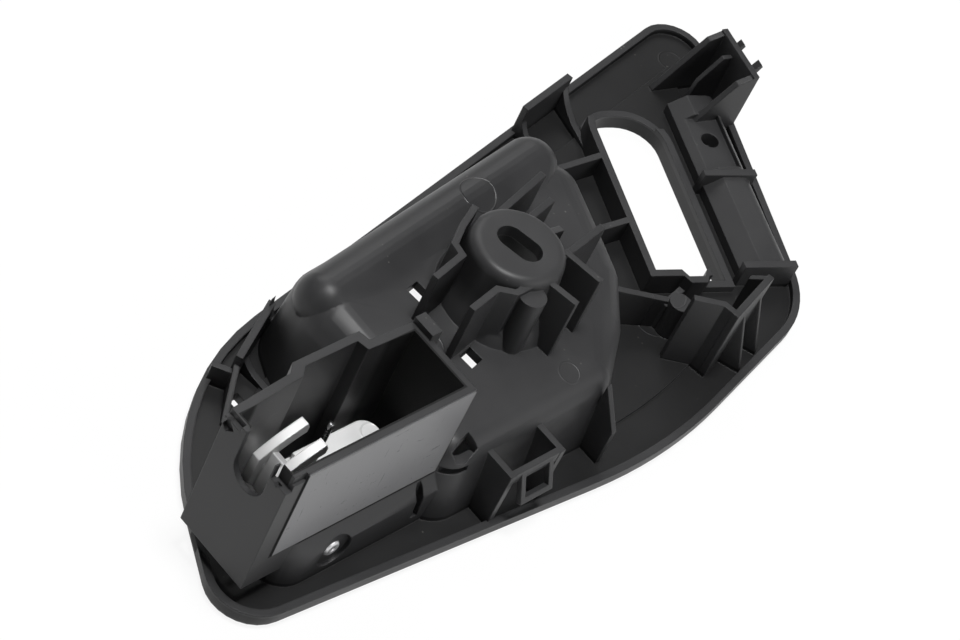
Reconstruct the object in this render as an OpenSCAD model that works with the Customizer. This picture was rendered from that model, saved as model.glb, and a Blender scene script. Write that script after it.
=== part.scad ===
// Inside door handle of a car: a moulded bezel whose back carries the finger
// bowl, the cable box, the clips and the screw turret, with a cast lever on
// a steel pin, its return spring and a rubber buffer.
// The handle lies on its front rim, and its back looks up. Lengths are in mm.

/* [Bezel] */
// Length of the lower edge, from corner to corner before rounding
bezel_len = 177.5; // [165:0.5:200]
// Rise of the left edge, before rounding
left_rise = 53.5; // [48:0.5:60]
// Rise of the right edge, before rounding
right_rise = 86; // [82:0.5:92]
// Lean of both end edges, in degrees from the lower edge
end_lean = 63.5; // [60:0.5:67]
// Thickness of the front skin
skin = 2.4; // [1.8:0.1:3]
// Height of the rim that runs round the back of the skin
rim_h = 4; // [3.4:0.1:5.5]
// Width of the rim
rim_w = 1.7; // [1.2:0.1:2.4]
// Width of the lower band between the rim and the raised field of the skin
band_w = 9; // [6:0.5:12]

/* [Finger bowl] */
// Height of the bowl's back at its deep end
bowl_h = 30; // [28:0.5:32]
// Fall of the bowl's back from its upper shoulder to its lower one
bowl_fall = 7; // [5:0.5:8]
// Wall of the bowl
bowl_wall = 2.2; // [1.8:0.1:2.8]
// Radius of the bowl's shoulders
shoulder_r = 8; // [7:0.5:9]
// Side of the square holes in the bowl's back
square_hole = 3.6; // [2.5:0.1:5]

/* [Cable box] */
// Length of the box
box_len = 48.3; // [46:0.1:56]
// Width of the box across its end plate
box_w = 18.8; // [18:0.1:22]
// Height of the box's rim over the bezel's front
box_top = 41.5; // [39:0.5:46]
// Wall of the box
box_wall = 1.8; // [1.4:0.1:2.4]
// Width of the cable slot in the end plate
slot_w = 8.4; // [6:0.1:9.5]
// Depth of the cable slot below the plate's top
slot_depth = 8; // [6:0.5:12]

/* [Screw turret] */
// Height of the turret's face over the bezel's front
turret_top = 41.5; // [38:0.5:44]
// Diameter of the turret's face
turret_d = 21; // [18:0.5:24]
// Width of the screw slot
screw_slot_w = 6; // [4.5:0.1:7]
// Length of the screw slot, end to end
screw_slot_len = 10.5; // [8:0.5:13]
// Thickness of the turret's face
turret_face = 3; // [2:0.1:4]

/* [Switch opening] */
// Length of the opening along the bezel's right edge
switch_len = 50; // [46:0.5:51]
// Width of the opening
switch_w = 19.4; // [14:0.2:20]
// Height of the frame round the opening
switch_frame_h = 9; // [6:0.5:11]
// Height of the frame's low upper end
switch_sill_h = 3.9; // [3.2:0.1:5]

/* [Lever] */
// Diameter of the pivot pin
pin_d = 4; // [3:0.1:4.6]
// Height of the pivot axis over the bezel's front
pivot_z = 8.4; // [8:0.1:9.5]
// Reach of the grip from the pivot axis
grip_reach = 69; // [55:1:71]
// Width of the grip
grip_w = 20; // [16:0.5:22]
// Thickness of the grip's skin
grip_t = 2.6; // [2:0.1:3.2]
// Radius of the cable quadrant
quadrant_r = 31.5; // [28:0.5:32]
// Gap between the quadrant's cheeks
cheek_gap = 3.6; // [2.5:0.1:4.5]
// Thickness of each cheek
cheek_t = 2; // [1.4:0.1:2.4]

/* [Clearances] */
// Running clearance between pin and lever, on the radius
run_gap = 0.08; // [0.03:0.01:0.1]
// Clearance between the pin and its seats, on the radius
seat_gap = 0.02; // [0.01:0.01:0.05]
// Side play of the lever in its bay
side_gap = 0.5; // [0.3:0.1:1]

/* [Hidden] */
$fn = 48;
eps = 0.02;

black = "#26272a";
chrome = "#c9ccd0";

// Corners of the bezel before rounding, anticlockwise from the lower left
lean = 1 / tan(end_lean);
corner_a = [-105.7, -37.7];
corner_d = corner_a + [bezel_len, 2.6];
corner_b = corner_a + left_rise * [lean, 1];
corner_c = corner_d + right_rise * [lean, 1];
belly = corner_a + [0.66 * bezel_len, -11];
bezel_corners = [corner_a, belly, corner_d, corner_c, corner_b];
bezel_radii = [10, 130, 24, 8.5, 62];
front_round = 1.5;
field_h = 0.6;

// A round of radius r at corner b, between its neighbours a and c
function unit(v) = v / norm(v);
function round_pts(a, b, c, r, n) =
    let (u = unit(a - b), v = unit(c - b),
         half = acos(u * v) / 2,
         back = r / tan(half),
         centre = b + unit(u + v) * (r / sin(half)),
         p = b + u * back - centre, q = b + v * back - centre,
         t0 = atan2(p[1], p[0]), turn = atan2(p[0] * q[1] - p[1] * q[0], p * q))
    [for (i = [0:n]) centre + r * [cos(t0 + turn * i / n), sin(t0 + turn * i / n)]];
function rounded(pts, radii, n) =
    let (m = len(pts))
    [for (i = [0:m - 1]) each
        round_pts(pts[(i + m - 1) % m], pts[i], pts[(i + 1) % m], radii[i], n)];

bezel_pts = rounded(bezel_corners, bezel_radii, 9);
bezel_x = [for (p = bezel_pts) p[0]];
bezel_y = [for (p = bezel_pts) p[1]];
mid = [(min(bezel_x) + max(bezel_x)) / 2, (min(bezel_y) + max(bezel_y)) / 2];

// Directions of the bezel's edges, for what lines up with them
top_angle = atan2(corner_c[1] - corner_b[1], corner_c[0] - corner_b[0]);
function top_edge(x) = corner_b[1] + (x - corner_b[0]) * tan(top_angle);
right_x = corner_d[0];

// Cable box
box_x0 = -97.8;
box_x1 = box_x0 + box_len;
box_y0 = -32.3;
box_y1 = box_y0 + box_w;
box_z0 = 8;
plate_t = 2;
plate_step = 3.5;
box_mid_y = (box_y0 + box_y1) / 2;
bump_out = 3.2;

// Pivot bay under the box
pivot_x = box_x0 + 22.2;
bay_x0 = -89.6;
bay_y0 = box_y0 - 2.3;
bay_y1 = box_y1 + 2;
bay_z = 15.8;
hub_r = pivot_z - 0.8;
wing_gap = 4.3;
bay_past = 4;
free_leg_short = 2.5;
bay_in0 = box_y0 + box_wall;
bay_in1 = box_y1 - box_wall;
hub_y0 = bay_in0 + side_gap;
hub_y1 = bay_in1 - side_gap;

// Bowl: shoulder centres, each with its share of the fall and of the radius
bowl_posts = [
    [-47, 4, 0.36, 1], [-45, 8.5, 0.36, 1], [16, 14, 0.43, 1], [19.9, 10.1, 0.46, 1],
    [14.4, -5.7, 0.64, 1], [12.7, -10.8, 0.74, 1], [5.8, -19.4, 0.93, 1],
    [-4.8, -29.6, 1, 0.75], [-44, -29.6, 1.07, 0.75]];
roll_posts = [[-47.5, 8.2, 0.1], [-45.5, 5.6, 0.3], [18.6, 16.6, 0], [14, 12.4, 0.27]];
roll_r = shoulder_r - 1.5;
bay_end = max(box_x1 + bay_past, bowl_posts[0][0] + bay_past - 2.5);
bowl_flare = 1.8;

// Turret and the ribs round it
turret_x = -15.2;
turret_y = -8.1;
turret_turn = 13;
rib = 1.5;
rib_top = turret_top - 1.5;

// Quadrant
rest_lean = 15.5;
quad_span = 16;
quad_low = rest_lean + quad_span;
cheek_mid = box_mid_y - 0.5;
axis_gap = 0.8;

// Return spring: the coil lies beside the near cheek and under the quadrant
wire_d = 1.2;
coil_r = pin_d / 2 + 0.45 + wire_d / 2;
coil_turns = 3.75;
coil_pitch = wire_d + 0.05;
leg_y = cheek_mid - cheek_gap / 2 - cheek_t - wire_d / 2 - 0.2;
coil_end_y = leg_y + coil_turns * coil_pitch;
wire_gap = 0.3;
web_r0 = quadrant_r - 8;
web_r1 = quadrant_r - 5.2;
web_low = 45;
web_high = asin((coil_r + wire_d / 2 + wire_gap) / web_r0);

// A path pushed sideways by d, with mitred bends and with ends that reach out by e
function side_pts(path, d, e) =
    let (m = len(path),
         dirs = [for (i = [0:m - 2]) unit(path[i + 1] - path[i])])
    [for (i = [0:m - 1])
        let (u = dirs[max(i - 1, 0)], v = dirs[min(i, m - 2)],
             nu = [-u[1], u[0]], nv = [-v[1], v[0]],
             reach = i == 0 ? -e : (i == m - 1 ? e : 0))
        path[i] + (nu + nv) * d / (1 + nu * nv) + u * reach];
function reversed(pts) = [for (i = [len(pts) - 1:-1:0]) pts[i]];

// A wall that stands along a path of corners in plan, from z0 to z1
module wall(path, t, z0, z1) {
    translate([0, 0, z0])
        linear_extrude(z1 - z0)
            polygon(concat(side_pts(path, -t / 2, t / 2), reversed(side_pts(path, t / 2, t / 2))));
}

// A thin rib between two points in plan whose top falls from za to zb
module fall_rib(a, b, t, z0, za, zb) {
    d = b - a;
    translate([a[0], a[1], 0])
        rotate([0, 0, atan2(d[1], d[0])])
            rotate([90, 0, 0])
                translate([0, 0, -t / 2])
                    linear_extrude(t)
                        polygon([[0, z0], [norm(d), z0], [norm(d), zb], [0, za]]);
}

// A gusset whose top edge sweeps down in a hollow curve from height za to zb
module hollow_gusset(a, b, t, z0, za, zb) {
    d = b - a;
    w = norm(d);
    translate([a[0], a[1], 0])
        rotate([0, 0, atan2(d[1], d[0])])
            rotate([90, 0, 0])
                translate([0, 0, -t / 2])
                    linear_extrude(t)
                        polygon(concat([[w, zb], [w, z0], [0, z0]],
                            [for (i = [0:7])
                                let (s = i / 8)
                                [w * (1 - sqrt(1 - s * s)) , za + (zb - za) * s]]));
}

// Bezel skin with its rounded front edge and the rim on its back
module bezel_skin() {
    difference() {
        hull() {
            linear_extrude(eps) offset(delta = -front_round) polygon(bezel_pts);
            translate([0, 0, 0.3 * front_round])
                linear_extrude(eps) offset(delta = -0.3 * front_round) polygon(bezel_pts);
            translate([0, 0, front_round])
                linear_extrude(rim_h - front_round) polygon(bezel_pts);
        }
        translate([0, 0, skin])
            linear_extrude(rim_h)
                offset(delta = -rim_w) polygon(bezel_pts);
    }
}

// Raised field of the skin inside the lower band along the rim
module skin_field() {
    translate([0, 0, skin - eps])
        linear_extrude(field_h + eps)
            offset(delta = -rim_w - band_w) polygon(bezel_pts);
}

// Bowl as a solid: inset 0 is its outside, the wall's thickness its inside
module bowl_solid(inset, z0) {
    hull() {
        for (p = bowl_posts) {
            r = shoulder_r * p[3];
            translate([p[0], p[1], bowl_h - p[2] * bowl_fall - r])
                sphere(r = r - inset, $fn = 32);
            translate([p[0], p[1], z0])
                cylinder(r = r + bowl_flare - inset, h = eps, $fn = 32);
        }
    }
}

// Long roll along the bowl's upper shoulder
module shoulder_roll(inset) {
    hull() {
        for (p = roll_posts) {
            translate([p[0], p[1], bowl_h - p[2] * bowl_fall - roll_r])
                sphere(r = roll_r - inset, $fn = 32);
        }
    }
}

// Block round the pivot, with its rounded end and sloping shoulder
module bay_solid() {
    end_r = 7;
    hull() {
        for (y = [bay_y0 + end_r, bay_y1 - end_r]) {
            translate([bay_x0 + end_r, y, skin - eps])
                cylinder(r = end_r, h = pivot_z + 2.6 - skin, $fn = 32);
        }
        translate([box_x1 + 4, bay_y0, skin - eps])
            cube([1, bay_y1 - bay_y0, pivot_z + 2.6 - skin]);
        translate([bay_x0 + 3, box_y0, bay_z - 1])
            cube([box_x1 - bay_x0, box_w, 1]);
    }
}

// Outline of the box in plan, inset by d
module box_plan(d) {
    bump_x0 = box_x0 + 16.8;
    bump_x1 = box_x0 + 36;
    y1 = box_y1 - d;
    polygon([
        [box_x0 + d, box_y0 + d], [box_x1 - d, box_y0 + d],
        [box_x1 - d, y1], [bump_x1 - d + 0.6, y1 + 0.6],
        [bump_x1 - d, y1 + bump_out], [bump_x0 + d + 2, y1 + bump_out],
        [bump_x0 + d, y1 + 1.4], [box_x0 + d, y1]]);
}

// Cable box: walls, end plate with its slot and ledges, and the end post
module cable_box() {
    difference() {
        union() {
            translate([0, 0, box_z0])
                linear_extrude(box_top - box_z0)
                    difference() {
                        box_plan(0);
                        box_plan(box_wall);
                    }
            // thicker end plate and its return along the lower wall
            translate([box_x0, box_y0, box_z0])
                cube([plate_t, box_w, box_top - box_z0]);
            // tall post in the far corner
            translate([box_x1 - 0.7, box_y1 - 5.3, box_z0 + 10])
                cube([2.8, 5.3, box_top + 1.6 - box_z0 - 10]);
            // smooth panel that stands just proud of the lower wall
            translate([box_x0 + 4.5, box_y0 - 0.25, bay_z])
                cube([box_len - 4.5, 1, box_top - 0.4 - bay_z]);
        }
        // ledge across the plate's lower corner
        translate([box_x0 - 1, box_y0 - 1, box_top - plate_step])
            cube([1 + plate_t - 0.5, 5.4, plate_step + 1]);
        translate([box_x0 - 1, box_y0 - 1, box_top - plate_step + 1.6])
            cube([5.5, 1.6, plate_step + 1]);
        // ledge across the plate's upper corner
        translate([box_x0 - 1, box_y1 - 4.4, box_top - 1.4])
            cube([1 + plate_t - 0.9, 5.4, 3]);
        cable_slot();
        // small pockets beside the slot
        for (p = [[box_y0 + 2.6, 2.4], [box_y1 - 1.2, 2.9]]) {
            translate([box_x0 - 1, p[0], box_top - p[1]])
                rotate([45, 0, 0])
                    translate([0, -1.3, -1.3])
                        cube([1.9, 2.6, 2.6]);
        }
    }
}

// Slot for the cable, open at the top, with a wider step on its inner side
module cable_slot() {
    slot_z = box_top - slot_depth;
    for (s = [[slot_w / 2, -1, plate_t + 3], [slot_w / 2 + 0.7, plate_t - 0.8, 3]]) {
        translate([box_x0 + s[1], cheek_mid, slot_z])
            rotate([0, 90, 0])
                cylinder(r = s[0], h = s[2]);
        translate([box_x0 + s[1], cheek_mid - s[0], slot_z])
            cube([s[2], 2 * s[0], slot_depth + 5]);
    }
}

// Screw turret: a deep cup with a filleted foot, closed at the back
module turret() {
    r = turret_d / 2;
    edge = 2.4;
    foot_z = bowl_h - 9;
    translate([turret_x, turret_y, 0])
        rotate_extrude()
            polygon(concat(
                [[0, foot_z], [r + 4.5, foot_z], [r + 2.6, bowl_h - 3], [r + 0.9, bowl_h + 1]],
                [for (i = [0:5])
                    [r - edge + edge * cos(i * 18), turret_top - edge + edge * sin(i * 18)]],
                [[0, turret_top]]));
}

module turret_well() {
    r = turret_d / 2 - 2.4;
    translate([turret_x, turret_y, 0])
        rotate_extrude()
            polygon([[0, -1], [r + 1.6, -1], [r + 1.6, bowl_h - 8], [r, turret_top - turret_face - 1],
                     [r - 1, turret_top - turret_face], [0, turret_top - turret_face]]);
}

module screw_slot() {
    r = screw_slot_w / 2;
    half = screw_slot_len / 2 - r;
    translate([turret_x, turret_y, turret_top - turret_face - 1])
        rotate([0, 0, 90 - 180 + turret_turn]) {
            for (s = [-1, 1]) {
                translate([s * half, 0, 0])
                    cylinder(r = r, h = turret_face + 2);
            }
            translate([-half, -r, 0])
                cube([2 * half, 2 * r, turret_face + 2]);
        }
}

// Zigzag walls and fins that brace the turret
module turret_ribs() {
    z0 = bowl_h - 8;
    wall([[-16.3, 4.3], [-21.9, 1.8], [-26.7, -1.1], [-27.3, -4.1], [-35.9, -5.9]], rib, z0, rib_top);
    wall([[-34.4, -15.6], [-26.5, -14.2], [-23.4, -16.8], [-15.1, -16.7], [-13.6, -24.1]],
         rib, z0 - 4, rib_top);
    wall([[-5.8, -13.7], [-4.4, -22]], rib, z0 - 4, rib_top);
    // fins that lean out towards the bowl's nose
    fall_rib([-14, 0.6], [7.6, 6.6], rib, z0, rib_top, rib_top - 3);
    fall_rib([-12, -4], [3.4, -0.2], rib, z0, rib_top, rib_top - 2);
    fall_rib([-8, -7.4], [1.6, -6.2], rib, z0, rib_top, rib_top - 4);
    fall_rib([-12, -14.8], [8.2, -11], rib, z0 - 3, rib_top, rib_top - 1.5);
    // half round pilaster on the turret's lower side
    translate([-20, -18.6, z0])
        cylinder(r = 3, h = rib_top - z0 - 1);
}

// Square hole through the bowl's back, turned a little from the box
module square_cut(x, y, s) {
    translate([x, y, -1])
        rotate([0, 0, 11])
            translate([-s / 2, -s / 2, 0])
                cube([s, s, bowl_h + 10]);
}

// Bent slit of the latch in the lower side of the bay
module latch_slit() {
    slit_w = 1.6;
    slit_d = 2;
    translate([-53.3, bay_y0 + slit_d, 15]) {
        rotate([90, 0, 0])
            linear_extrude(2 * slit_d)
                polygon([[0, 0], [9.6, 1], [9.6, 1 + slit_w], [-0.8, slit_w],
                         [-1.4, -slit_w], [-0.4, -10], [1.4, -10], [0.6, -slit_w]]);
    }
}

// Shallow thumb facet over the slit
module latch_facet() {
    translate([-46.5, bay_y0 - 1, 18.4])
        rotate([0, 0, 14])
            cube([5.4, 3.2, 4]);
}

// Clip box on the lower side, with its sprung loop
module lower_clip() {
    x0 = -37.8;
    x1 = -23.6;
    y0 = -42;
    top = 18.5;
    wall([[x0, -33], [x0, y0]], rib, skin - eps, top);
    wall([[x1, -33], [x1, y0]], rib, skin - eps, top);
    wall([[x0, y0], [x1, y0]], 1.3, top - 3, top);
    // loop: two legs and a sill, leaning out
    translate([x0 + 2.8, y0, top - 1])
        rotate([-24, 0, 0])
            translate([0, -0.65, -7.6])
                difference() {
                    cube([9.2, 1.3, 8]);
                    translate([1.2, -1, 1.3])
                        cube([6.8, 4, 5.6]);
                }
}

// Clip on the upper edge: a wall on the rim with a gusset at each end
module upper_clip(x0, x1, h, reach_a, reach_b) {
    dir = [cos(top_angle), sin(top_angle)];
    a = [x0, top_edge(x0) - 1.4];
    b = a + dir * (x1 - x0) / dir[0];
    wall([a, b], 1.6, skin - eps, h);
    hollow_gusset(a, a + [reach_a * 0.1, -reach_a], rib, skin - eps, h, skin + 1);
    hollow_gusset(b, b + [-reach_b * 0.22, -reach_b], rib, skin - eps, h, skin + 1.2);
}

// Pocket tower near the upper right corner, open at the top
module clip_tower() {
    long = 15;
    width = 15.6;
    top = 20.3;
    translate([right_x + 24.2, 14.8, 0])
        rotate([0, 0, -15]) {
            translate([-rib, 0, skin - eps])
                cube([rib, width, top - skin]);
            for (y = [0, width - rib]) {
                translate([0, y + rib, 0])
                    rotate([90, 0, 0])
                        linear_extrude(rib)
                            polygon([[0, skin - eps], [-long, skin - eps], [-long, skin + 0.6],
                                     [-5, top - 2], [0, top]]);
            }
            // rib up the middle and the two barbs on the end wall
            translate([-5.6, width * 0.62, 0])
                rotate([90, 0, 0])
                    linear_extrude(1.1)
                        polygon([[4, skin], [-3.6, skin], [-2.6, 11], [1.6, 18], [4, 18]]);
            for (b = [[0.2, 1], [0.68, 0]]) {
                translate([-0.4, width * b[0] + 0.8, b[1]])
                    rotate([90, 0, 0])
                        linear_extrude(1.6)
                            polygon([[0, top - 5], [2.4, top - 0.4], [1.6, top + 0.6], [0, top - 1.6]]);
            }
        }
}

// Clip pocket near the lower right corner, with two outer gussets
module corner_clip() {
    top = 22.8;
    x0 = right_x - 37.7;
    foot = [x0 + 0.8, -35.7];
    far = [x0 + 15.6, -31.8];
    wall([foot, far], rib, skin - eps, top);
    wall([foot, foot + [-0.6, 3.2], foot + [-5.4, 7.4]], rib, skin - eps, top);
    fall_rib(foot + [-5.4, 7.4], foot + [5, 8], rib, skin - eps, top - 4, top - 8);
    fall_rib(far, far + [-1.2, 3.6], rib, skin - eps, top, top - 3);
    for (s = [0.42, 0.92]) {
        p = foot + (far - foot) * s;
        fall_rib(p, p + [2.4, -5.4], 1.2, skin - eps, top - 3, skin + 0.4);
    }
}

// Frame round the switch opening, in its own leaning axes
switch_turn = end_lean + 2;
switch_at = [right_x - 13.6, 4.6];
module switch_place() {
    translate([switch_at[0], switch_at[1], 0])
        rotate([0, 0, switch_turn])
            children();
}

// Plan of the opening: round upper end, straight lower end with a notch
switch_low = -22.5;
module switch_plan(grow) {
    low = switch_low - grow;
    high = switch_low + switch_len + grow;
    w = switch_w / 2 + grow;
    r = w - 1;
    polygon(concat(
        [[low, w], [low, 3.2], [low - 2, 2], [low - 2, -2], [low, -3.2], [low, -w]],
        [for (i = [0:8]) [high - r + r * sin(i * 11.25), -w + r - r * cos(i * 11.25)]],
        [for (i = [0:8]) [high - r + r * cos(i * 11.25), w - r + r * sin(i * 11.25)]]));
}

module switch_frame() {
    switch_place()
        difference() {
            translate([0, 0, skin - eps])
                linear_extrude(switch_frame_h - skin)
                    switch_plan(1.8);
            // the right side of the frame is only a low step
            translate([-switch_len, -switch_w - 3, skin + 2.4])
                cube([2 * switch_len, switch_w + 3 - 4, switch_frame_h]);
            // and its upper end a lower one
            translate([switch_low + switch_len - 4.6, -switch_w, switch_sill_h])
                cube([2 * switch_frame_h, 2 * switch_w, switch_frame_h]);
        }
}

// Rounded channel that runs down the right edge
channel_gap = 4.2;
channel_w = 12;
channel_top = 8.6;
module edge_channel() {
    round_r = 3.4;
    y1 = -switch_w / 2 - channel_gap;
    y0 = y1 - channel_w;
    h = channel_top - skin;
    switch_place() {
        difference() {
            translate([-22, y0, skin - eps])
                rotate([90, 0, 90])
                    linear_extrude(52)
                        difference() {
                            polygon([[0, 0], [channel_w, 0], [channel_w, h - 3], [channel_w - 4, h], [0, h]]);
                            difference() {
                                translate([-1, h - round_r]) square([1 + round_r, round_r + 1]);
                                translate([round_r, h - round_r]) circle(r = round_r);
                            }
                        }
            // recess of the upper stretch, with the round eye
            translate([8, y0 + 2, channel_top - 1.6])
                cube([16, channel_w, 3]);
            translate([17.4, y0 + 6, skin + 1])
                cylinder(r = 2.2, h = channel_top);
        }
        // cross ribs over the channel
        for (x = [-22.6, 4.6]) {
            translate([x, y0 - 0.6, skin - eps])
                cube([1.8, channel_w + 1.6, h + 0.8]);
        }
    }
}

// Low ribs between the bowl, the switch frame and the corner clip
module floor_ribs() {
    s = right_x + 1;
    wall([[24, 4.8], [s - 28.6, 2]], rib, skin - eps, switch_frame_h);
    wall([[24, 22.6], [s - 20.6, 19.4]], rib, skin - eps, switch_frame_h);
    fall_rib([17, -10.4], [s - 38.6, -20.6], rib, skin - eps, 15, 11.4);
    wall([[s - 39.2, -20.7], [s - 33.4, -19.6]], rib, skin - eps, 10.7);
    fall_rib([-4.9, -36], [-4.9, -42.2], 1.3, skin - eps, 21.5, 12.7);
    translate([s - 37.4, -23, skin - eps])
        cylinder(r = 2.6, h = 10);
}

// Clip at the upper left, over the cable box
module left_clip() {
    a = [-64, 10.6];
    b = [-49.6, 18.2];
    h = 13;
    wall([a, b], 1.6, skin - eps, h - 1);
    hollow_gusset(b, [-47.4, 8.4], rib, skin - eps, h + 1, skin + 2);
    hollow_gusset([-59.4, 13.6], [-58.2, 5.4], rib, skin - eps, h - 3, skin + 1);
    fall_rib(a, [-72, 2.6], 1.2, skin - eps, h - 3, skin + 0.8);
    wall([a + [-1.6, 0], a + [-3.4, 2.4]], 1.4, skin - eps, h - 5);
}

// The moulded bezel in one piece
module housing_body() {
    difference() {
        union() {
            bezel_skin();
            skin_field();
            bowl_solid(0, skin - eps);
            shoulder_roll(0);
            bay_solid();
            cable_box();
            turret();
            turret_ribs();
            lower_clip();
            upper_clip(43, 59, 12, 7, 15);
            left_clip();
            clip_tower();
            corner_clip();
            edge_channel();
            switch_frame();
            floor_ribs();
        }
        // finger bowl, open to the front
        bowl_solid(bowl_wall, -1);
        shoulder_roll(bowl_wall);
        turret_well();
        screw_slot();
        // bay of the lever, up into the box
        translate([pivot_x - hub_r - axis_gap, bay_in0, -1])
            cube([bay_end - pivot_x + hub_r + axis_gap, bay_in1 - bay_in0, box_z0 + 1 + eps]);
        translate([0, 0, box_z0])
            linear_extrude(box_top)
                box_plan(box_wall);
        latch_slit();
        latch_facet();
        for (p = [[-31, -0.8], [-30.4, -18]]) {
            square_cut(p[0], p[1], square_hole);
        }
        translate([-66.6, 5, -1])
            cube([3, 3, rim_h]);
        // switch opening
        translate([0, 0, -1])
            linear_extrude(switch_frame_h + 2)
                translate(switch_at)
                    rotate(switch_turn)
                        switch_plan(0);
        // seats of the pivot pin and the eye round its end
        translate([pivot_x, bay_y0 - 2, pivot_z])
            rotate([-90, 0, 0]) {
                cylinder(r = pin_d / 2 + seat_gap, h = bay_y1 - bay_y0 + 4);
                cylinder(r = 4.2, h = 2.9);
            }
        // seat of the buffer in the end plate
        buffer_place()
            translate([0, 0, -buffer_stem_len - seat_gap])
                cylinder(r = buffer_stem_r + seat_gap, h = buffer_stem_len + 1);
    }
}

// Pad that the quadrant's web closes against
buffer_stem_r = 1.4;
buffer_stem_len = 1.2;
buffer_r = 2.4;
buffer_z = pivot_z + web_r1 * cos(web_low) - 1.2;
plate_in = box_x0 + plate_t;
buffer_len = pivot_x - web_r1 * sin(web_low) - plate_in - wire_gap;
module buffer_place() {
    translate([plate_in, cheek_mid, buffer_z])
        rotate([0, 90, 0])
            children();
}

module housing() {
    color(black)
        translate([-mid[0], -mid[1], 0])
            housing_body();
}

module rest_buffer() {
    crown = 0.5;
    color("#1b1b1d")
        translate([-mid[0], -mid[1], 0])
            buffer_place()
                rotate_extrude()
                    polygon([[0, -buffer_stem_len], [buffer_stem_r, -buffer_stem_len],
                             [buffer_stem_r, 0], [buffer_r, 0], [buffer_r, buffer_len - crown],
                             [buffer_r - crown, buffer_len], [0, buffer_len]]);
}

module pivot_pin() {
    color("#d4d6d8")
        translate([pivot_x - mid[0], bay_y0 + 0.5 - mid[1], pivot_z])
            rotate([-90, 0, 0])
                cylinder(r = pin_d / 2, h = bay_y1 - bay_y0 - 0.8);
}

// Plan of the grip, with its rounded far end
module grip_plan() {
    y0 = cheek_mid - grip_w / 2 + 1.2;
    y1 = y0 + grip_w;
    x1 = pivot_x + grip_reach;
    polygon(concat(
        [[pivot_x - hub_r - 1, hub_y0], [pivot_x + 30, hub_y0], [pivot_x + 40, y0]],
        round_pts([pivot_x + 40, y0], [x1, y0], [x1, y1], 7, 8),
        round_pts([x1, y0], [x1, y1], [pivot_x + 40, y1], 9, 8),
        [[pivot_x + 40, y1], [pivot_x + 30, hub_y1], [pivot_x - hub_r - 1, hub_y1]]));
}

// Side section of the grip: a bowed skin that thickens into the hub
module grip_section() {
    x1 = pivot_x + grip_reach + 1;
    bow = 1.6;
    function lift(x) = bow * pow(x / grip_reach, 3);
    polygon(concat(
        [for (i = [0:10]) let (x = i * (grip_reach + 1) / 10) [pivot_x + x, 0.8 + lift(x)]],
        [for (i = [10:-1:2]) let (x = i * (grip_reach + 1) / 10)
            [pivot_x + x, 0.8 + lift(x) + grip_t]],
        [[pivot_x + hub_r + 2, pivot_z], [pivot_x, pivot_z]]));
}

// Sector of the quadrant between two radii, in the plane of the lever
module sector(r0, r1, a0, a1) {
    n = 10;
    polygon(concat(
        [for (i = [0:n]) let (a = a0 + (a1 - a0) * i / n) [-r1 * sin(a), r1 * cos(a)]],
        [for (i = [n:-1:0]) let (a = a0 + (a1 - a0) * i / n) [-r0 * sin(a), r0 * cos(a)]]));
}

// Extrudes a plan drawn in X and Z along Y, from y0 to y1
module along_y(y0, y1) {
    translate([0, y1, 0])
        rotate([90, 0, 0])
            linear_extrude(y1 - y0)
                children();
}

module lever_body() {
    difference() {
        union() {
            intersection() {
                along_y(hub_y0 - grip_w / 2, hub_y1 + grip_w / 2 + 4)
                    grip_section();
                linear_extrude(box_top) grip_plan();
            }
            // hub
            translate([pivot_x, hub_y0, pivot_z])
                rotate([-90, 0, 0])
                    cylinder(r = hub_r, h = hub_y1 - hub_y0);
            // stiffening ribs on the grip, which pass under the box's end wall
            for (y = [cheek_mid - 6, cheek_mid + 5]) {
                along_y(y, y + 1.4)
                    translate([pivot_x, 0])
                        polygon([[0, 2], [grip_reach - 14, 3], [grip_reach - 22, 6.2],
                                 [box_x1 - box_wall - 2 - pivot_x, box_z0 - 0.9], [0, pivot_z + 4]]);
            }
            // cheeks of the quadrant
            for (s = [-1, 1]) {
                y = cheek_mid + s * (cheek_gap + cheek_t) / 2;
                along_y(y - cheek_t / 2, y + cheek_t / 2)
                    translate([pivot_x, pivot_z])
                        quadrant_cheek();
            }
            // floor of the cable groove
            along_y(cheek_mid - cheek_gap / 2 - eps, cheek_mid + cheek_gap / 2 + eps)
                translate([pivot_x, pivot_z])
                    sector(web_r0, web_r1, web_high, web_low);
            // flat wing beside the quadrant
            wing();
        }
        // bore
        translate([pivot_x, hub_y0 - 1, pivot_z])
            rotate([-90, 0, 0])
                cylinder(r = pin_d / 2 + run_gap, h = hub_y1 - hub_y0 + 2);
        // room for the coil, for its fixed leg and for its moving leg
        translate([pivot_x, leg_y - wire_d / 2 - wire_gap, pivot_z])
            rotate([-90, 0, 0])
                cylinder(r = coil_r + wire_d / 2 + 0.4, h = coil_end_y - leg_y + wire_d + 2 * wire_gap);
        translate([pivot_x - hub_r - 1, leg_y - wire_d / 2 - wire_gap, pivot_z - 5])
            cube([hub_r + 1, wire_d + wire_gap + 0.19, hub_r + 6]);
        translate([pivot_x - coil_r - wire_d / 2 - wire_gap, coil_end_y - wire_d / 2 - wire_gap, pivot_z])
            cube([wire_d + 2 * wire_gap, wire_d + 2 * wire_gap, hub_r + 1]);
    }
}

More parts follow.
